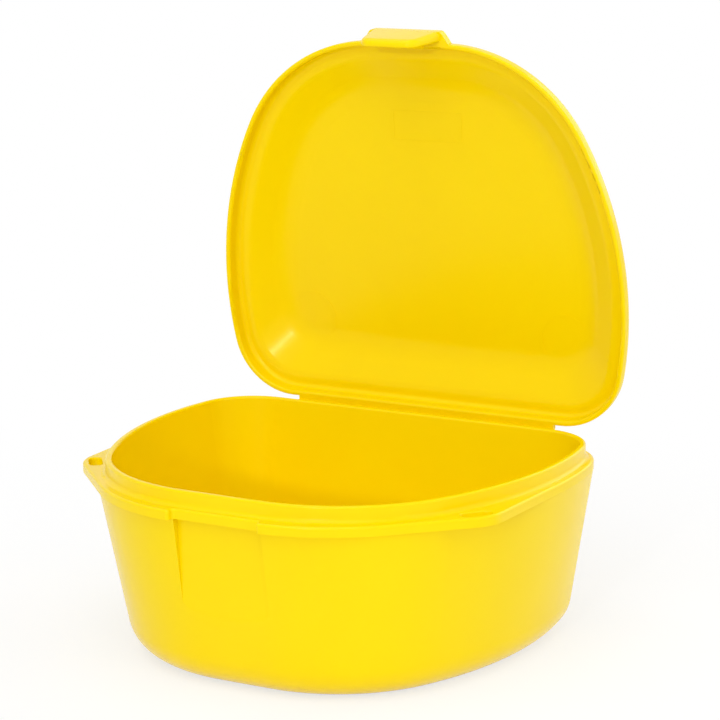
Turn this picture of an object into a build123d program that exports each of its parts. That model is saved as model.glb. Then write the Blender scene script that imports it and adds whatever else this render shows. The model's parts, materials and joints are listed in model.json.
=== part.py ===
"""Small moulded case with a hinged lid: a deep tub, a shallow lid, the film between them and a snap tongue.

Millimetres. The origin is the middle of the underside, +Z is up and the front of the case faces -Y.
The lid is drawn at the heights it has when it is shut, on planes that are turned open about the hinge line.
"""
from build123d import *
from math import acos, atan2, cos, degrees, hypot, pi, radians, sin, sqrt, tan
import os

# Plan of the case, measured on the outside of the upstanding lip
lip_width = 75.2
lip_depth = 62.7
widest_from_back = 19.9
corner_radius = 10.4
side_radius = 61.5
shoulder_radius = 27.0
front_radius = 400.0

# Plan of the tub's foot, where the walls would meet the floor if they ran on straight
foot_side_inset = 3.45
foot_back_inset = 2.6
foot_front_inset = 3.3
foot_corner_radius = 7.0
foot_shoulder_radius = 26.6

# Tub
case_height = 32.6
lip_height = 2.6
lip_wall = 1.0
lip_crest_radius = 0.4
lip_root_radius = 0.75
floor_wall = 1.2
foot_wall = 1.2
foot_radius = 6.7

# Flange around the tub and the two cord ears on it
flange_thickness = 1.6
flange_reach = 1.35
flange_front_reach = 2.75
flange_edge_radius = 0.4
wall_below_flange = 0.05
ear_radius = 7.0
ear_beyond_lip = 0.4
ear_back_from_front = 20.4
eyelet_width = 2.2
eyelet_length = 5.2
eyelet_from_ear_rim = 2.1
eyelet_bearing = 37.0
eyelet_edge_radius = 0.25

# Pocket for the snap tongue in the front wall
pocket_width = 15.6
pocket_foot_height = 12.5
pocket_set_back = 1.4
pocket_depth_under_flange = 1.3
notch_corner_radius = 0.5

# Lid
lid_clearance = 0.15
lip_clearance = 0.2
crest_clearance = 0.2
rim_wall = 0.9
panel_wall = 1.1
panel_above_rim = 6.4
shoulder_above_rim = 2.8
shoulder_round = 2.6
ledge_width = 2.2
inner_slope_run = 5.8
outer_slope_run = 9.3
panel_round = 9.0
least_corner = 7.0
socket_round = 0.8
ledge_round = 3.0
rim_edge_radius = 0.3
rim_mouth_radius = 0.5
open_angle = 84.5

# Faint raised lines on the inside of the lid: two plain rings and one plain rectangle
mark_height = 0.06
mark_line = 0.35
ring_radius = 4.5
ring_from_middle = 24.8
ring_ahead_of_back = 11.95
frame_width = 13.0
frame_depth = 5.1
frame_behind_front = 14.7

# Hinge strip and the two leaves that it joins
hinge_width = 50.0
leaf_thickness = 0.6
leaf_length = 2.0
film_length = 1.6
film_thickness = 0.4
leaf_gap = 0.3
lid_leaf_thickness = 0.8
leaf_root_height = 0.9

# Snap tongue
tongue_width = 13.2
tongue_tip_width = 10.4
tongue_length = 7.0
tongue_root_thickness = 1.6
tongue_tip_thickness = 1.2
tongue_corner_radius = 2.0
tongue_edge_radius = 1.0
tongue_clearance = 0.2
root_block_height = 1.4
root_flare = 1.4
barb_bite = 0.8
barb_height = 1.5
barb_land = 0.5
barb_width = 9.0
barb_clearance = 0.15

# Points nearer than the first are one point, and edges nearer than the second to a level lie on it
join_tolerance = 1e-6
level_tolerance = 0.01
lean_digits = 12

# Share of a wall's length that the fillet at each of its ends may take
most_wall_share = 0.4

# Heights and distances that follow from the sizes above
lip_back = lip_depth / 2
flange_top = case_height - lip_height
flange_bottom = flange_top - flange_thickness
wall_top_grow = flange_reach - wall_below_flange
rim_level = flange_top + lid_clearance
socket_grow = lip_clearance
rim_grow = socket_grow + rim_wall
ledge_level = case_height + crest_clearance
panel_inside = rim_level + panel_above_rim
panel_outside = panel_inside + panel_wall
shoulder_level = rim_level + shoulder_above_rim
ledge_edge_grow = socket_grow - ledge_width

# Hinge line: the point that the film's shut end and its open end both turn about
flange_back = lip_back + flange_reach
leaf_end = flange_back + leaf_length
film_level = flange_bottom + leaf_thickness - film_thickness
lid_leaf_level = flange_bottom + leaf_thickness + leaf_gap
film_turn = radians(180 - open_angle)
film_radius = film_length / film_turn
opening = radians(open_angle)
film_shut = (0.0, 2 * film_length / pi)
film_open = (film_radius * sin(film_turn), film_radius * (1 - cos(film_turn)))
turned_shut = (film_shut[1] * sin(opening), film_shut[1] * cos(opening))
apart = (film_open[0] - turned_shut[0], film_open[1] - turned_shut[1])
half_cot = 0.5 / tan(opening / 2)
hinge_y = leaf_end + apart[0] / 2 + apart[1] * half_cot
hinge_z = film_level - apart[0] * half_cot + apart[1] / 2


def rolled_outline(circles):
    """Face inside a belt drawn tight round the circles of the right half, back to front, and mirrored."""
    turns = [90.0]
    for (first, first_radius), (second, second_radius) in zip(circles, circles[1:]):
        across = (second[0] - first[0], second[1] - first[1])
        # A lean of 1 or -1, but for rounding, means that the circles touch from inside
        lean = round((first_radius - second_radius) / hypot(*across), lean_digits)
        turns.append(degrees(atan2(across[1], across[0]) + acos(lean)))
    turns.append(-90.0)
    with BuildSketch() as outline:
        with BuildLine():
            last_point = Vector(0, circles[0][0][1] + circles[0][1])
            for (centre, radius), start, end in zip(circles, turns, turns[1:]):
                start_point = Vector(
                    centre[0] + radius * cos(radians(start)), centre[1] + radius * sin(radians(start))
                )
                if (start_point - last_point).length > join_tolerance:
                    Line(last_point, start_point)
                last_point = CenterArc(centre, radius, start, (end - start + 180) % 360 - 180) @ 1
            mirror(about=Plane.YZ)
        make_face()
    return outline.sketch


def case_circles(grow, corner, front_grow):
    """Centres and radii of the arcs in the right half of the case's plan, moved out by grow."""
    back = lip_back + grow
    side = side_radius + grow
    shoulder = shoulder_radius + grow
    front = front_radius + grow
    side_centre = (lip_width / 2 + grow - side, lip_back - widest_from_back)
    corner_y = back - corner
    corner_x = side_centre[0] + sqrt((side - corner) ** 2 - (corner_y - side_centre[1]) ** 2)
    front_centre = (0.0, front - lip_back - front_grow)
    # The shoulder's arc touches the side's arc and the front's arc from inside
    across = (front_centre[0] - side_centre[0], front_centre[1] - side_centre[1])
    span = hypot(*across)
    along = ((side - shoulder) ** 2 - (front - shoulder) ** 2 + span**2) / (2 * span)
    aside = sqrt((side - shoulder) ** 2 - along**2)
    shoulder_centre = (
        side_centre[0] + (along * across[0] + aside * across[1]) / span,
        side_centre[1] + (along * across[1] - aside * across[0]) / span,
    )
    return [
        ((corner_x, corner_y), corner),
        (side_centre, side),
        (shoulder_centre, shoulder),
        (front_centre, front),
    ]


def bearing(start, end):
    """Unit vector from one point of the plan to another."""
    across = (end[0] - start[0], end[1] - start[1])
    return across[0] / hypot(*across), across[1] / hypot(*across)


def foot_outline(grow):
    """Plan of the tub's foot, moved out by grow.

    Its arcs meet where the case's arcs meet as seen from their centres, so the walls between them are smooth.
    """
    corner, side, shoulder, front = [centre for centre, radius in case_circles(0, corner_radius, 0)]
    to_corner = bearing(side, corner)
    to_shoulder = bearing(side, shoulder)
    from_front = bearing(front, shoulder)
    side_edge = lip_width / 2 - foot_side_inset
    front_edge = foot_front_inset - lip_back
    corner_y = lip_back - foot_back_inset - foot_corner_radius
    # The side's and the front's radii are the ones that bring the arcs to the foot's edges and to its middle
    rise = (1 + from_front[1]) / from_front[0]
    turn = (to_shoulder[0] - from_front[0], to_shoulder[1] - from_front[1])
    foot_side_radius = (
        corner_y + foot_corner_radius * to_corner[1] - front_edge - rise * side_edge
        + foot_shoulder_radius * (rise * turn[0] - turn[1])
    ) / (rise * (to_shoulder[0] - 1) - to_shoulder[1] + to_corner[1])
    corner_reach = foot_side_radius - foot_corner_radius
    shoulder_reach = foot_side_radius - foot_shoulder_radius
    side = (side_edge - foot_side_radius, corner_y - corner_reach * to_corner[1])
    corner = (side[0] + corner_reach * to_corner[0], corner_y)
    shoulder = (side[0] + shoulder_reach * to_shoulder[0], side[1] + shoulder_reach * to_shoulder[1])
    foot_front_radius = foot_shoulder_radius + shoulder[0] / from_front[0]
    front = (0.0, front_edge + foot_front_radius)
    circles = [
        (corner, foot_corner_radius + grow),
        (side, foot_side_radius + grow),
        (shoulder, foot_shoulder_radius + grow),
        (front, foot_front_radius + grow),
    ]
    return rolled_outline(circles)


def case_outline(grow):
    """Plan of the case, moved out by grow."""
    return rolled_outline(case_circles(grow, corner_radius + grow, grow))


def dome_outline(grow):
    """Plan of the lid's dome, whose corners stay round however far in it lies."""
    return rolled_outline(case_circles(grow, max(corner_radius + grow, least_corner), grow))


# Turns a plane from its place on the shut lid to its place on the open lid
lid_turn = Location((0, hinge_y, hinge_z), (-open_angle, 0, 0)) * Location((0, -hinge_y, -hinge_z))


def on_lid(plane):
    """The plane, given for the shut lid, where it lies with the lid open."""
    return Plane(lid_turn * plane.location)


def lid_height(point):
    """Height that a point of the open lid has when the lid is shut."""
    return on_lid(Plane.XY).to_local_coords(point).Z


# Flange plan: a belt round the case's outline and round an ear circle at each front corner
ear_x = lip_width / 2 + ear_beyond_lip - ear_radius
ear_y = ear_back_from_front - lip_back
eyelet_x = ear_x + (ear_radius - eyelet_from_ear_rim) * cos(radians(eyelet_bearing))
eyelet_y = ear_y - (ear_radius - eyelet_from_ear_rim) * sin(radians(eyelet_bearing))

rear, flank, cheek, front = case_circles(flange_reach, corner_radius + flange_reach, flange_front_reach)
flange_plan = rolled_outline([rear, flank, ((ear_x, ear_y), ear_radius), cheek, front])

# Hollow of the tub
with BuildPart() as tub_space:
    with BuildSketch(Plane.XY.offset(floor_wall)):
        add(foot_outline(-foot_wall))
    with BuildSketch(Plane.XY.offset(case_height)):
        add(case_outline(-lip_wall))
    loft()
    fillet(tub_space.faces().sort_by(Axis.Z)[0].edges(), foot_radius - foot_wall)

# Flange with its ears and their eyelets, notched at the front for the snap tongue
front_edge = -lip_back - flange_front_reach

with BuildPart() as flange:
    with BuildSketch(Plane.XY.offset(flange_bottom)) as notched_plan:
        add(flange_plan)
        with Locations((0, front_edge)):
            Rectangle(pocket_width, 2 * pocket_set_back, mode=Mode.SUBTRACT)
        # Each eyelet is a slot that runs along its ear's rim
        for side in (1, -1):
            with Locations((side * eyelet_x, eyelet_y)):
                SlotOverall(
                    eyelet_length, eyelet_width, rotation=side * (90 - eyelet_bearing), mode=Mode.SUBTRACT
                )
        # The notch's corners are rounded no further than its side walls allow
        notch_walls = notched_plan.edges().filter_by(Axis.Y)
        fillet(notch_walls.vertices(), min(notch_corner_radius, notch_walls[0].length * most_wall_share))
    extrude(amount=flange_thickness)
    fillet(flange.faces().sort_by(Axis.Z)[-1].outer_wire().edges(), flange_edge_radius)
    fillet(flange.faces().sort_by(Axis.Z)[-1].inner_wires().edges(), eyelet_edge_radius)

# Tub with its flange, cord ears, lip and rear hinge leaf
with BuildPart() as base_tub:
    with BuildSketch():
        add(foot_outline(0))
    with BuildSketch(Plane.XY.offset(flange_bottom)):
        add(case_outline(wall_top_grow))
    loft()
    fillet(base_tub.faces().sort_by(Axis.Z)[0].edges(), foot_radius)
    # Pocket that the snap tongue drops into, deepest under the flange and running out down the wall
    pocket_wall = -lip_back - wall_top_grow + pocket_depth_under_flange
    foot_run = (wall_top_grow + foot_front_inset) * (flange_bottom - pocket_foot_height) / flange_bottom
    with BuildSketch(Plane.YZ):
        with BuildLine():
            Polyline(
                (front_edge, flange_bottom),
                (pocket_wall, flange_bottom),
                (-lip_back - wall_top_grow + foot_run, pocket_foot_height),
                (front_edge, pocket_foot_height),
                close=True,
            )
        make_face()
    extrude(amount=pocket_width / 2, both=True, mode=Mode.SUBTRACT)
    add(flange.part)
    with BuildSketch(Plane.XY.offset(flange_bottom)):
        with Locations((0, flange_back)):
            Rectangle(hinge_width, 2 * leaf_length)
    extrude(amount=leaf_thickness)
    with BuildSketch(Plane.XY.offset(flange_top)):
        add(case_outline(0))
    extrude(amount=lip_height)
    lip_root = base_tub.edges(Select.LAST).filter_by_position(
        Axis.Z, flange_top - level_tolerance, flange_top + level_tolerance
    )
    fillet(lip_root, lip_root_radius)
    add(tub_space.part, mode=Mode.SUBTRACT)
    fillet(base_tub.faces().sort_by(Axis.Z)[-1].edges(), lip_crest_radius)


lid_up = Axis((0, 0, 0), on_lid(Plane.XY).z_dir)


def ledge_face(space):
    """The flat ring where the lid's socket meets its dome."""
    return space.faces().filter_by(lid_up).group_by(lid_up)[1][0]


# Hollow of the lid: the socket that takes the lip, and the dome beyond it
with BuildPart() as lid_space:
    with BuildSketch(on_lid(Plane.XY.offset(ledge_level))):
        add(dome_outline(ledge_edge_grow))
    with BuildSketch(on_lid(Plane.XY.offset(panel_inside))):
        add(dome_outline(ledge_edge_grow - inner_slope_run))
    loft()
    fillet(lid_space.faces().sort_by(lid_up)[-1].edges(), panel_round - panel_wall)
    with BuildSketch(on_lid(Plane.XY.offset(rim_level))):
        add(case_outline(socket_grow))
    extrude(amount=ledge_level - rim_level)
    fillet(ledge_face(lid_space).outer_wire().edges(), socket_round)
    fillet(ledge_face(lid_space).inner_wires().edges(), ledge_round)

# Lid with its rim, rear hinge leaf and the block that the snap tongue hangs from
rim_front = -lip_back - rim_grow
rim_middle = lip_back + socket_grow + rim_wall / 2
tongue_inside = -lip_back - flange_front_reach + pocket_set_back - tongue_clearance
tongue_outside = tongue_inside - tongue_root_thickness

with BuildPart() as lid_shell:
    with BuildSketch(on_lid(Plane.XY.offset(shoulder_level))):
        add(dome_outline(rim_grow))
    with BuildSketch(on_lid(Plane.XY.offset(panel_outside))):
        add(dome_outline(rim_grow - outer_slope_run))
    loft()
    fillet(lid_shell.faces().sort_by(lid_up)[-1].edges(), panel_round)
    with BuildSketch(on_lid(Plane.XY.offset(rim_level))):
        add(dome_outline(rim_grow))
    extrude(amount=shoulder_level - rim_level)
    shoulder = lid_shell.edges().filter_by(
        lambda edge: abs(lid_height(edge.center()) - shoulder_level) < level_tolerance
    )
    fillet(shoulder, shoulder_round)
    add(lid_space.part, mode=Mode.SUBTRACT)
    fillet(lid_shell.faces().sort_by(lid_up)[0].outer_wire().edges(), rim_edge_radius)
    fillet(lid_shell.faces().sort_by(lid_up)[0].inner_wires().edges(), rim_mouth_radius)
    with BuildSketch(on_lid(Plane.YZ)):
        with BuildLine():
            Polyline(
                (rim_middle, rim_level),
                (flange_back + leaf_gap, rim_level),
                (flange_back + leaf_gap, lid_leaf_level),
                (leaf_end, lid_leaf_level),
                (leaf_end, lid_leaf_level + lid_leaf_thickness),
                (flange_back + leaf_gap, rim_level + leaf_root_height),
                (rim_middle, rim_level + leaf_root_height),
                close=True,
            )
        make_face()
    extrude(amount=hinge_width / 2, both=True)
    with BuildSketch(on_lid(Plane.XY.offset(rim_level))) as root_block:
        with BuildLine():
            behind = Line((0, -rim_middle), (tongue_width / 2 + root_flare, -rim_middle))
            Polyline(
                behind @ 1,
                (tongue_width / 2 + root_flare, rim_front),
                (tongue_width / 2, tongue_outside),
                (0, tongue_outside),
            )
            mirror(about=Plane.YZ)
        make_face()
        fillet(root_block.vertices().group_by(Axis.Y)[0], tongue_edge_radius)
    extrude(amount=root_block_height)
    with BuildSketch(on_lid(Plane.XY.offset(panel_inside))):
        ring_y = lip_back - ring_ahead_of_back
        with Locations((ring_from_middle, ring_y), (-ring_from_middle, ring_y)):
            Circle(ring_radius + mark_line / 2)
            Circle(ring_radius - mark_line / 2, mode=Mode.SUBTRACT)
        with Locations((0, frame_behind_front - lip_back)):
            Rectangle(frame_width + mark_line, frame_depth + mark_line)
            Rectangle(frame_width - mark_line, frame_depth - mark_line, mode=Mode.SUBTRACT)
    extrude(amount=-mark_height)

# Film that the lid turns on, bent to the lid's open angle
with BuildPart() as hinge_film:
    with BuildSketch(Plane.YZ):
        bend_centre = (leaf_end, film_level + film_radius)
        with BuildLine():
            outer = CenterArc(bend_centre, film_radius + film_thickness / 2, -90, degrees(film_turn))
            inner = CenterArc(bend_centre, film_radius - film_thickness / 2, -90, degrees(film_turn))
            Line(outer @ 0, inner @ 0)
            Line(outer @ 1, inner @ 1)
        make_face()
    extrude(amount=hinge_width / 2, both=True)

# Snap tongue with the barb that catches under the flange
barb_top = flange_bottom - barb_clearance
barb_inside = -lip_back - flange_front_reach + pocket_set_back + barb_bite

with BuildPart() as latch_tongue:
    with BuildSketch(on_lid(Plane.YZ)):
        with BuildLine():
            Polyline(
                (tongue_inside, rim_level),
                (tongue_outside, rim_level),
                (tongue_inside - tongue_tip_thickness, rim_level - tongue_length),
                (tongue_inside, rim_level - tongue_length),
                close=True,
            )
        make_face()
    extrude(amount=tongue_width / 2, both=True)
    with BuildSketch(on_lid(Plane.XZ.offset(-tongue_inside))) as tongue_front:
        with BuildLine():
            Polyline(
                (tongue_width / 2, rim_level),
                (-tongue_width / 2, rim_level),
                (-tongue_tip_width / 2, rim_level - tongue_length),
                (tongue_tip_width / 2, rim_level - tongue_length),
                close=True,
            )
        make_face()
        fillet(tongue_front.vertices().group_by(Axis.Y)[0], tongue_corner_radius)
    extrude(amount=tongue_root_thickness, mode=Mode.INTERSECT)
    outside = latch_tongue.faces().sort_by(Axis((0, 0, 0), on_lid(Plane.XZ).z_dir))[-1]
    fillet(
        outside.edges().filter_by(lambda edge: lid_height(edge.center()) < rim_level - join_tolerance),
        tongue_edge_radius,
    )
    with BuildSketch(on_lid(Plane.YZ)):
        with BuildLine():
            Polyline(
                (tongue_inside, barb_top),
                (barb_inside, barb_top),
                (barb_inside, barb_top - barb_land),
                (tongue_inside, barb_top - barb_height),
                close=True,
            )
        make_face()
    extrude(amount=barb_width / 2, both=True)

base_tub.part.label = "base_tub"
lid_shell.part.label = "lid_shell"
hinge_film.part.label = "hinge_film"
latch_tongue.part.label = "latch_tongue"

os.makedirs("parts", exist_ok=True)
export_step(base_tub.part, "parts/base_tub.step")
export_step(lid_shell.part, "parts/lid_shell.step")
export_step(hinge_film.part, "parts/hinge_film.step")
export_step(latch_tongue.part, "parts/latch_tongue.step")
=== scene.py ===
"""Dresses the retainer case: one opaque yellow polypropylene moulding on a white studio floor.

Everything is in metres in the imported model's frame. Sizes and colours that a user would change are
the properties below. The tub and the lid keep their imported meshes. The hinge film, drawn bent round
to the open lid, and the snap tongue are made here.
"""
import json
import math

import bmesh
import bpy
from mathutils import Matrix, Vector


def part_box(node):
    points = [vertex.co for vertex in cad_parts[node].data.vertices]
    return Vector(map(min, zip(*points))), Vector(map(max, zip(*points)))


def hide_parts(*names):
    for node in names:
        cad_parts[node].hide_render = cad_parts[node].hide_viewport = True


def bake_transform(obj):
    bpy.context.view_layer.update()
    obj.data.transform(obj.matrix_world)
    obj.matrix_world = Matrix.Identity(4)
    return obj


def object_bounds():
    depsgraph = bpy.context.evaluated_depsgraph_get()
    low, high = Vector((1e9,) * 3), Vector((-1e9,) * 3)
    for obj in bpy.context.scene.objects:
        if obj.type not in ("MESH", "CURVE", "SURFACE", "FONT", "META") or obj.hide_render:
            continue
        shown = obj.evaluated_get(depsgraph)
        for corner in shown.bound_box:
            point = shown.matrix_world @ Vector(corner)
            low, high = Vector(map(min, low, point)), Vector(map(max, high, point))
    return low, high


bl_info = {
    "name": "Retainer case",
    "version": (1, 0, 0),
    "blender": (4, 5, 0),
    "location": "3D View > Sidebar > Retainer case",
    "description": "Dresses the moulded retainer case and sets up its studio",
    "category": "Object",
}

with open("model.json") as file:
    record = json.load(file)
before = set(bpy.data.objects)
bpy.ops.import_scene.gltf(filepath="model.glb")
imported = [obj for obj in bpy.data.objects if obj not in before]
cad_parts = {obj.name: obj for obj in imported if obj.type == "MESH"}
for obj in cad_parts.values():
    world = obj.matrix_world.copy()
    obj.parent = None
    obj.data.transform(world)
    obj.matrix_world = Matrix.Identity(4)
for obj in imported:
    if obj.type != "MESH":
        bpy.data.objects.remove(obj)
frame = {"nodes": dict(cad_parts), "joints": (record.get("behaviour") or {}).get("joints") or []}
cad_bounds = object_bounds()

MM = 0.001
SMOOTH_ANGLE = math.radians(40)
QUARTER = math.pi / 2
WHITE = (1.0, 1.0, 1.0, 1.0)

# The Mix node names its colour sockets like its other ones, so they are reached by number
MIX_SHARE, MIX_FIRST, MIX_SECOND, MIX_RESULT = 0, 6, 7, 2

# Faces along the snap tongue and round its edges
CORNER_STEPS = 6
STRAIGHT_STEPS = 12
TIP_STEPS = 12
BARB_EDGE_STEPS = 3

# Where the tongue's tip gets too thin for both rounded edges, they share its thickness like this
OUTER_EDGE_SHARE = 0.8
INNER_EDGE_SHARE = 0.2

SENSOR_WIDTH_MM = 36.0

# Each square softbox: its name, its place and its side in metres, and its power in watts
SOFTBOXES = (
    ("key_softbox", (0.25, -0.7, 0.85), 0.9, 4.6),
    ("top_softbox", (-0.2, -0.1, 1.0), 0.8, 2.2),
    ("side_softbox", (1.1, 0.0, 0.5), 0.8, 2.2),
    ("back_softbox", (0.5, 1.1, 0.55), 0.9, 4.2),
    ("highlight_softbox", (0.191, -1.107, 0.32), 0.05, 2.2),
)

joints = {joint["name"]: joint for joint in frame["joints"]}
open_angle = -math.radians(joints["lid_hinge"]["range_deg"][0])


def linear_colour(hex_code):
    """The scene-linear red, green and blue of an sRGB hex code."""
    channels = [int(hex_code[k:k + 2], 16) / 255 for k in (1, 3, 5)]
    return tuple(c / 12.92 if c <= 0.04045 else ((c + 0.055) / 1.055) ** 2.4 for c in channels)


def add_node(tree, kind, sockets=None, links=None, **properties):
    """Adds a shader node with its properties, socket values and links."""
    node = tree.nodes.new(kind)
    for name, value in properties.items():
        setattr(node, name, value)
    for key, value in (sockets or {}).items():
        node.inputs[key].default_value = value
    for key, source in (links or {}).items():
        tree.links.new(source, node.inputs[key])
    return node


def new_material(name):
    """A material with an empty node tree."""
    material = bpy.data.materials.new(name)
    material.use_nodes = True
    material.node_tree.nodes.clear()
    return material


# Injection-moulded polypropylene from a fine satin mould: opaque and deeply coloured face on, with
# hardly any shine, and glossier at grazing angles. It has faint cloudy flow marks, shallow sink
# waves and a very fine mould texture. Its gloss is tinted a little, and light that enters less than
# a millimetre below the skin softens the edges.
def polypropylene():
    name = "moulded_polypropylene_satin"
    if name in bpy.data.materials:
        return bpy.data.materials[name]
    finish = bpy.context.scene.case_finish
    material = new_material(name)
    tree = material.node_tree
    place = add_node(tree, "ShaderNodeTexCoord").outputs["Object"]
    flow = add_node(
        tree, "ShaderNodeTexNoise",
        {"Scale": 1 / finish.flow_mark_size, "Detail": 2.0, "Roughness": 0.5, "Distortion": 0.6},
        {"Vector": place},
    )
    colour = add_node(
        tree, "ShaderNodeMix",
        {MIX_FIRST: (*finish.colour_deep, 1.0), MIX_SECOND: (*finish.colour, 1.0)},
        {MIX_SHARE: flow.outputs["Fac"]}, data_type="RGBA",
    )
    gloss = add_node(
        tree, "ShaderNodeMapRange",
        {
            "To Min": finish.roughness - finish.roughness_spread,
            "To Max": finish.roughness + finish.roughness_spread,
        },
        {"Value": flow.outputs["Fac"]},
    )
    sink = add_node(
        tree, "ShaderNodeTexNoise",
        {"Scale": 1 / finish.sink_wave_size, "Detail": 0.0}, {"Vector": place},
    )
    waves = add_node(
        tree, "ShaderNodeBump",
        {"Strength": 1.0, "Distance": finish.sink_wave_depth}, {"Height": sink.outputs["Fac"]},
    )
    grain = add_node(
        tree, "ShaderNodeTexNoise",
        {"Scale": 1 / finish.texture_pitch, "Detail": 1.0, "Roughness": 0.4}, {"Vector": place},
    )
    satin = add_node(
        tree, "ShaderNodeBump",
        {"Strength": 1.0, "Distance": finish.texture_depth},
        {"Height": grain.outputs["Fac"], "Normal": waves.outputs["Normal"]},
    )
    shader = add_node(
        tree, "ShaderNodeBsdfPrincipled",
        {
            "IOR": 1.49,
            "Specular IOR Level": 0.22,
            "Specular Tint": (*linear_colour("#FFF5BC"), 1.0),
            "Subsurface Weight": 0.08,
            "Subsurface Scale": 0.8 * MM,
            "Subsurface Radius": (1.0, 0.6, 0.1),
        },
        {
            "Base Color": colour.outputs[MIX_RESULT],
            "Roughness": gloss.outputs["Result"],
            "Normal": satin.outputs["Normal"],
        },
    )
    add_node(tree, "ShaderNodeOutputMaterial", links={"Surface": shader.outputs["BSDF"]})
    return material


def dress_node(name):
    """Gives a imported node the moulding's plastic."""
    node = frame["nodes"][name]
    node.data.materials.clear()
    node.data.materials.append(polypropylene())


def loft_loops(mesh, loops):
    """Skins closed loops of equally many points, and closes both ends."""
    rings = [[mesh.verts.new(point) for point in loop] for loop in loops]
    for first, second in zip(rings, rings[1:]):
        for k in range(len(first)):
            mesh.faces.new((first[k - 1], first[k], second[k], second[k - 1]))
    mesh.faces.new(reversed(rings[0]))
    mesh.faces.new(rings[-1])


def finished_piece(name, mesh):
    """Turns a bmesh into a smooth-shaded object in the moulding's plastic."""
    bmesh.ops.recalc_face_normals(mesh, faces=mesh.faces)
    data = bpy.data.meshes.new(name)
    mesh.to_mesh(data)
    mesh.free()
    data.shade_smooth()
    data.set_sharp_from_angle(angle=SMOOTH_ANGLE)
    data.materials.append(polypropylene())
    piece = bpy.data.objects.new(name, data)
    bpy.context.scene.collection.objects.link(piece)
    return piece


class CaseFinish(bpy.types.PropertyGroup):
    """The moulding's colour and surface."""

    colour: bpy.props.FloatVectorProperty(
        name="Colour", description="Colour of the moulding, face on",
        subtype="COLOR", size=3, min=0.0, max=1.0, default=linear_colour("#F5D800"),
    )
    colour_deep: bpy.props.FloatVectorProperty(
        name="Deep colour", description="Colour where the flow marks are deepest",
        subtype="COLOR", size=3, min=0.0, max=1.0, default=linear_colour("#F2D300"),
    )
    roughness: bpy.props.FloatProperty(
        name="Roughness", description="Mean surface roughness",
        subtype="FACTOR", min=0.05, max=1.0, default=0.23,
    )
    roughness_spread: bpy.props.FloatProperty(
        name="Roughness spread", description="How far the flow marks raise or lower the roughness",
        min=0.0, max=0.2, default=0.03,
    )
    flow_mark_size: bpy.props.FloatProperty(
        name="Flow mark size", description="Width of the faint cloudy marks",
        unit="LENGTH", default=18 * MM,
    )
    sink_wave_size: bpy.props.FloatProperty(
        name="Sink wave size", description="Width of the shallow waves in the walls",
        unit="LENGTH", default=14 * MM,
    )
    sink_wave_depth: bpy.props.FloatProperty(
        name="Sink wave depth", description="Depth of the shallow waves",
        unit="LENGTH", precision=5, default=0.06 * MM,
    )
    texture_pitch: bpy.props.FloatProperty(
        name="Texture pitch",
        description="Width of the mould texture's grains, drawn coarse enough to show",
        unit="LENGTH", precision=5, default=0.45 * MM,
    )
    texture_depth: bpy.props.FloatProperty(
        name="Texture depth", description="Depth of the mould texture's grains",
        unit="LENGTH", precision=6, default=0.004 * MM,
    )


class HingeFilm(bpy.types.PropertyGroup):
    """The thin strip that the lid turns on."""

    thickness: bpy.props.FloatProperty(
        name="Thickness", description="Thickness of the film",
        unit="LENGTH", precision=5, default=0.4 * MM,
    )
    bend_steps: bpy.props.IntProperty(
        name="Bend steps", description="Faces along the film's bend", min=4, default=24,
    )
    edge_steps: bpy.props.IntProperty(
        name="Edge steps", description="Faces round each edge of the film", min=2, default=6,
    )


class SnapTongue(bpy.types.PropertyGroup):
    """The springy tongue that holds the lid shut."""

    width: bpy.props.FloatProperty(
        name="Root width", description="Width where the tongue leaves the lid",
        unit="LENGTH", default=13.2 * MM,
    )
    tip_width: bpy.props.FloatProperty(
        name="Tip width", description="Width at the tip, before its corners are rounded",
        unit="LENGTH", default=10.4 * MM,
    )
    length: bpy.props.FloatProperty(
        name="Length", description="Length from the lid's rim to the tip",
        unit="LENGTH", default=7.0 * MM,
    )
    root_thickness: bpy.props.FloatProperty(
        name="Root thickness", description="Thickness at the root",
        unit="LENGTH", precision=5, default=1.6 * MM,
    )
    tip_thickness: bpy.props.FloatProperty(
        name="Tip thickness", description="Thickness at the tip",
        unit="LENGTH", precision=5, default=1.2 * MM,
    )
    corner_radius: bpy.props.FloatProperty(
        name="Corner radius", description="Radius of the tip's corners",
        unit="LENGTH", precision=5, default=2.0 * MM,
    )
    edge_radius: bpy.props.FloatProperty(
        name="Edge radius", description="Radius of the outer edges",
        unit="LENGTH", precision=5, default=1.0 * MM,
    )
    inner_edge_radius: bpy.props.FloatProperty(
        name="Inner edge radius", description="Radius of the edges that face the tub",
        unit="LENGTH", precision=5, default=0.15 * MM,
    )
    barb_from_root: bpy.props.FloatProperty(
        name="Barb from root", description="Distance from the lid's rim to the barb's catching face",
        unit="LENGTH", precision=5, default=1.9 * MM,
    )
    barb_width: bpy.props.FloatProperty(
        name="Barb width", description="Width of the barb",
        unit="LENGTH", default=9.0 * MM,
    )
    barb_depth: bpy.props.FloatProperty(
        name="Barb depth", description="How far the barb stands out",
        unit="LENGTH", precision=5, default=1.0 * MM,
    )
    barb_land: bpy.props.FloatProperty(
        name="Barb land", description="Flat on top of the barb",
        unit="LENGTH", precision=5, default=0.5 * MM,
    )
    barb_height: bpy.props.FloatProperty(
        name="Barb height", description="Length of the barb along the tongue",
        unit="LENGTH", precision=5, default=1.5 * MM,
    )
    barb_edge_radius: bpy.props.FloatProperty(
        name="Barb edge radius", description="Radius of the barb's edges",
        unit="LENGTH", precision=5, default=0.18 * MM,
    )
    bend_length: bpy.props.FloatProperty(
        name="Bend length", description="Length at the root over which the tongue bends",
        unit="LENGTH", precision=5, default=1.8 * MM,
    )


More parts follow.
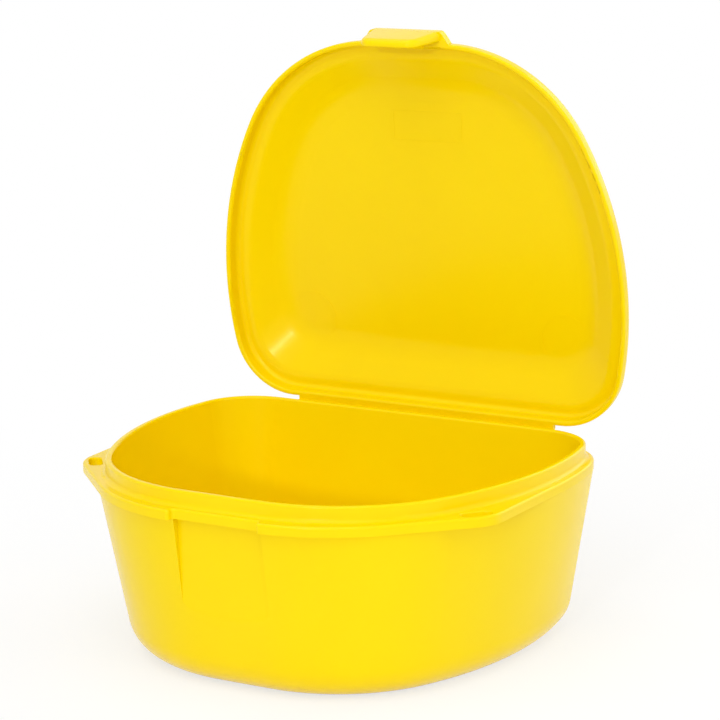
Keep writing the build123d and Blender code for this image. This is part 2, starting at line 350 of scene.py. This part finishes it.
class StudioSetup(bpy.types.PropertyGroup):
    """Camera, lights and floor."""

    azimuth: bpy.props.FloatProperty(
        name="Azimuth", description="Camera's turn to the right of the front",
        subtype="ANGLE", default=math.radians(28.803),
    )
    elevation: bpy.props.FloatProperty(
        name="Elevation", description="Camera's height angle",
        subtype="ANGLE", default=math.radians(12.097),
    )
    roll: bpy.props.FloatProperty(
        name="Roll", description="Camera's lean",
        subtype="ANGLE", default=math.radians(-0.393),
    )
    distance: bpy.props.FloatProperty(
        name="Distance", description="Camera's distance from the point that it aims at",
        unit="LENGTH", default=438.16 * MM,
    )
    aim: bpy.props.FloatVectorProperty(
        name="Aim", description="Point that the camera aims at",
        subtype="TRANSLATION", unit="LENGTH", size=3,
        default=(-8.27 * MM, 28.31 * MM, 41.60 * MM),
    )
    lens: bpy.props.FloatProperty(
        name="Lens", description="Focal length on a 36 mm wide sensor, in millimetres",
        default=126.48,
    )
    fill: bpy.props.FloatProperty(
        name="Fill", description="Strength of the even light from all round",
        min=0.0, default=0.50,
    )
    floor_size: bpy.props.FloatProperty(
        name="Floor size", description="Length of the square floor's side",
        unit="LENGTH", default=6.0,
    )
    shadow_radius: bpy.props.FloatProperty(
        name="Shadow radius",
        description="Distance from the middle of the case within which the floor takes its full shadow",
        unit="LENGTH", default=50 * MM,
    )
    sweep_radius: bpy.props.FloatProperty(
        name="Sweep radius",
        description="Distance beyond which the floor is pure white to the camera",
        unit="LENGTH", default=170 * MM,
    )
    shadow_share: bpy.props.FloatProperty(
        name="Shadow share",
        description="Share of the real floor that the camera sees near the case",
        subtype="FACTOR", min=0.0, max=1.0, default=0.30,
    )


class CASE_OT_tub(bpy.types.Operator):
    """Finishes the tub with its flange, lip and cord ears"""

    bl_idname = "case.tub"
    bl_label = "Tub"

    def execute(self, context):
        dress_node("base_tub")
        return {"FINISHED"}


class CASE_OT_lid(bpy.types.Operator):
    """Finishes the lid with its plain raised rings and rectangle"""

    bl_idname = "case.lid"
    bl_label = "Lid"

    def execute(self, context):
        dress_node("lid_shell")
        return {"FINISHED"}


class CASE_OT_hinge_film(bpy.types.Operator):
    """Makes the film between the two hinge leaves, bent round to the open lid"""

    bl_idname = "case.hinge_film"
    bl_label = "Hinge film"

    def execute(self, context):
        film = context.scene.case_film
        low, high = (Vector(corner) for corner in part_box("hinge_film"))
        edge = film.thickness / 2
        outer_radius = high.y - low.y
        middle_radius = outer_radius - edge
        centre = Vector((0, low.y, low.z + outer_radius))
        turn = math.pi - open_angle

        def section(bend):
            """The film's cross-section with round edges, where it has turned by bend."""
            outward = Vector((0, math.sin(bend), -math.cos(bend)))
            points = []
            for side in (1, -1):
                for k in range(film.edge_steps + 1):
                    angle = side * QUARTER - math.pi * k / film.edge_steps
                    across = side * (high.x - edge) + edge * math.cos(angle)
                    radius = middle_radius + edge * math.sin(angle)
                    points.append(centre + Vector((across, 0, 0)) + outward * radius)
            return points

        mesh = bmesh.new()
        steps = film.bend_steps
        loft_loops(mesh, [section(turn * k / steps) for k in range(steps + 1)])
        piece = finished_piece("hinge_film_strip", mesh)
        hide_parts("hinge_film")
        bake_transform(piece)
        return {"FINISHED"}


class CASE_OT_snap_tongue(bpy.types.Operator):
    """Makes the rounded snap tongue with its barb"""

    bl_idname = "case.snap_tongue"
    bl_label = "Snap tongue"

    def execute(self, context):
        tongue = context.scene.case_tongue
        root = Vector(joints["latch_flex"]["pos_m"])
        outward = Vector((0, -math.cos(open_angle), math.sin(open_angle)))
        along = Vector((0, -math.sin(open_angle), -math.cos(open_angle)))

        def place(across, down, out):
            """The point at across from the middle, down from the root and out from its outer face."""
            return root + Vector((across, 0, 0)) + along * down + outward * out

        def rounding(radius, to_tip):
            """How far a quarter round of this radius has come in, at to_tip from the tip."""
            reach = max(0.0, radius - to_tip)
            return radius - math.sqrt(radius**2 - reach**2)

        def section(down):
            """The tongue's rounded cross-section at down from the root."""
            to_tip = tongue.length - down
            share = down / tongue.length
            half = (tongue.width + (tongue.tip_width - tongue.width) * share) / 2
            half -= rounding(tongue.corner_radius, to_tip)
            top = (tongue.tip_thickness - tongue.root_thickness) * share
            top -= rounding(tongue.edge_radius, to_tip)
            bottom = -tongue.root_thickness + rounding(tongue.inner_edge_radius, to_tip)
            upper = min(tongue.edge_radius, (top - bottom) * OUTER_EDGE_SHARE)
            lower = min(tongue.inner_edge_radius, (top - bottom) * INNER_EDGE_SHARE)
            corners = [
                (half - upper, top - upper, upper, 0.0),
                (upper - half, top - upper, upper, QUARTER),
                (lower - half, bottom + lower, lower, 2 * QUARTER),
                (half - lower, bottom + lower, lower, 3 * QUARTER),
            ]
            points = []
            for across, out, radius, start in corners:
                for k in range(CORNER_STEPS + 1):
                    angle = start + QUARTER * k / CORNER_STEPS
                    turned = (radius * math.cos(angle), radius * math.sin(angle))
                    points.append(place(across + turned[0], down, out + turned[1]))
            return points

        straight = tongue.length - tongue.corner_radius
        stations = [straight * k / STRAIGHT_STEPS for k in range(STRAIGHT_STEPS)]
        stations += [
            straight + tongue.corner_radius * math.sin(QUARTER * k / TIP_STEPS)
            for k in range(TIP_STEPS + 1)
        ]
        mesh = bmesh.new()
        loft_loops(mesh, [section(down) for down in stations])

        # The barb is sunk by two of its edge radii, so that it and the tongue read as one moulding
        inside = -tongue.root_thickness
        sunk = inside + tongue.barb_edge_radius * 2
        catch = tongue.barb_from_root
        profile = [
            (catch, sunk),
            (catch, inside - tongue.barb_depth),
            (catch + tongue.barb_land, inside - tongue.barb_depth),
            (catch + tongue.barb_height, inside),
            (catch + tongue.barb_height, sunk),
        ]
        barb = bmesh.new()
        loft_loops(barb, [
            [place(side * tongue.barb_width / 2, down, out) for down, out in profile]
            for side in (1, -1)
        ])
        bmesh.ops.bevel(
            barb, geom=barb.edges[:], offset=tongue.barb_edge_radius,
            segments=BARB_EDGE_STEPS, profile=0.5, affect="EDGES",
        )
        barb_data = bpy.data.meshes.new("barb")
        barb.to_mesh(barb_data)
        barb.free()
        mesh.from_mesh(barb_data)
        bpy.data.meshes.remove(barb_data)

        piece = finished_piece("snap_tongue", mesh)
        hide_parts("latch_tongue")
        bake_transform(piece)
        return {"FINISHED"}


def camera_axes(studio):
    """The camera's right, up and backward directions."""
    back = Vector((
        math.sin(studio.azimuth) * math.cos(studio.elevation),
        -math.cos(studio.azimuth) * math.cos(studio.elevation),
        math.sin(studio.elevation),
    ))
    right = Vector((0, 0, 1)).cross(back).normalized()
    up = back.cross(right)
    lean = Matrix.Rotation(studio.roll, 3, back)
    return lean @ right, lean @ up, back


def add_camera(studio):
    """The camera at the photograph's viewing angle."""
    data = bpy.data.cameras.new("photo_camera")
    data.sensor_width = SENSOR_WIDTH_MM
    data.lens = studio.lens
    data.clip_start = 0.01
    data.clip_end = 20.0
    camera = bpy.data.objects.new("photo_camera", data)
    right, up, back = camera_axes(studio)
    place = Vector(studio.aim) + back * studio.distance
    rotation = Matrix((right, up, back)).transposed().to_4x4()
    camera.matrix_world = Matrix.Translation(place) @ rotation
    bpy.context.scene.collection.objects.link(camera)
    bpy.context.scene.camera = camera


def add_softbox(name, place, side, power):
    """A square softbox at place that faces the middle of the case."""
    low, high = (Vector(corner) for corner in cad_bounds)
    data = bpy.data.lights.new(name, "AREA")
    data.shape = "SQUARE"
    data.size = side
    data.energy = power
    light = bpy.data.objects.new(name, data)
    light.location = place
    to_case = (low + high) / 2 - Vector(place)
    light.rotation_euler = to_case.to_track_quat("-Z", "Y").to_euler()
    bpy.context.scene.collection.objects.link(light)


def seen_directly(tree):
    """1 for camera, glossy and transmission rays, and 0 for the rays that carry diffuse light."""
    ray = add_node(tree, "ShaderNodeLightPath").outputs
    direct = ray["Is Camera Ray"]
    for kind in ("Is Glossy Ray", "Is Transmission Ray"):
        direct = add_node(
            tree, "ShaderNodeMath", links={0: direct, 1: ray[kind]}, operation="MAXIMUM",
        ).outputs[0]
    return direct


# Matt white painted sweep: near the case it takes the soft contact shadow, and away from it it is
# plain white
def painted_sweep(studio):
    material = new_material("matt_white_painted_sweep")
    tree = material.node_tree
    paint = add_node(tree, "ShaderNodeBsdfDiffuse", {"Color": (*linear_colour("#F9F9F9"), 1.0)})
    glow = add_node(tree, "ShaderNodeEmission", {"Color": WHITE, "Strength": 1.0})
    place = add_node(tree, "ShaderNodeTexCoord").outputs["Object"]
    away = add_node(tree, "ShaderNodeVectorMath", links={0: place}, operation="LENGTH")
    white = add_node(
        tree, "ShaderNodeMapRange",
        {
            "From Min": studio.shadow_radius,
            "From Max": studio.sweep_radius,
            "To Min": 1.0 - studio.shadow_share,
            "To Max": 1.0,
        },
        {"Value": away.outputs["Value"]}, interpolation_type="SMOOTHSTEP",
    )
    share = add_node(
        tree, "ShaderNodeMath",
        links={0: white.outputs["Result"], 1: seen_directly(tree)}, operation="MULTIPLY",
    )
    mix = add_node(
        tree, "ShaderNodeMixShader",
        links={0: share.outputs[0], 1: paint.outputs[0], 2: glow.outputs[0]},
    )
    add_node(tree, "ShaderNodeOutputMaterial", links={"Surface": mix.outputs[0]})
    return material


def studio_world(studio):
    """White to the camera and in gloss, an even softer white to light the object."""
    world = bpy.data.worlds.new("studio_world")
    world.use_nodes = True
    tree = world.node_tree
    tree.nodes.clear()
    fill = add_node(tree, "ShaderNodeBackground", {"Color": WHITE, "Strength": studio.fill})
    white = add_node(tree, "ShaderNodeBackground", {"Color": WHITE, "Strength": 1.0})
    mix = add_node(
        tree, "ShaderNodeMixShader",
        links={0: seen_directly(tree), 1: fill.outputs[0], 2: white.outputs[0]},
    )
    add_node(tree, "ShaderNodeOutputWorld", links={"Surface": mix.outputs[0]})
    bpy.context.scene.world = world


def add_floor(studio):
    """The square floor that the case stands on."""
    half = studio.floor_size / 2
    corners = [(-half, -half, 0), (half, -half, 0), (half, half, 0), (-half, half, 0)]
    mesh = bpy.data.meshes.new("floor")
    mesh.from_pydata(corners, [], [(0, 1, 2, 3)])
    mesh.materials.append(painted_sweep(studio))
    floor = bpy.data.objects.new("floor", mesh)
    bpy.context.scene.collection.objects.link(floor)


class CASE_OT_stage(bpy.types.Operator):
    """Makes the camera, lights, world and floor"""

    bl_idname = "case.stage"
    bl_label = "Stage"

    def execute(self, context):
        studio = context.scene.case_studio
        add_camera(studio)
        studio_world(studio)
        for name, place, side, power in SOFTBOXES:
            add_softbox(name, place, side, power)
        add_floor(studio)
        context.scene.view_settings.view_transform = "Standard"
        return {"FINISHED"}


class CASE_PT_panel(bpy.types.Panel):
    """Lists the case's pieces and its studio"""

    bl_idname = "CASE_PT_panel"
    bl_label = "Retainer case"
    bl_space_type = "VIEW_3D"
    bl_region_type = "UI"
    bl_category = "Retainer case"

    def draw(self, context):
        for operator in OPERATORS:
            self.layout.operator(operator.bl_idname)


OPERATORS = (CASE_OT_tub, CASE_OT_lid, CASE_OT_hinge_film, CASE_OT_snap_tongue, CASE_OT_stage)
CLASSES = (CaseFinish, HingeFilm, SnapTongue, StudioSetup, *OPERATORS, CASE_PT_panel)


def register():
    for cls in CLASSES:
        bpy.utils.register_class(cls)
    bpy.types.Scene.case_finish = bpy.props.PointerProperty(type=CaseFinish)
    bpy.types.Scene.case_film = bpy.props.PointerProperty(type=HingeFilm)
    bpy.types.Scene.case_tongue = bpy.props.PointerProperty(type=SnapTongue)
    bpy.types.Scene.case_studio = bpy.props.PointerProperty(type=StudioSetup)


def unregister():
    del bpy.types.Scene.case_studio
    del bpy.types.Scene.case_tongue
    del bpy.types.Scene.case_film
    del bpy.types.Scene.case_finish
    for cls in reversed(CLASSES):
        bpy.utils.unregister_class(cls)


def main():
    register()
    bpy.ops.case.tub()
    bpy.ops.case.lid()
    bpy.ops.case.hinge_film()
    bpy.ops.case.snap_tongue()
    bpy.ops.case.stage()


if __name__ == "__main__":
    main()
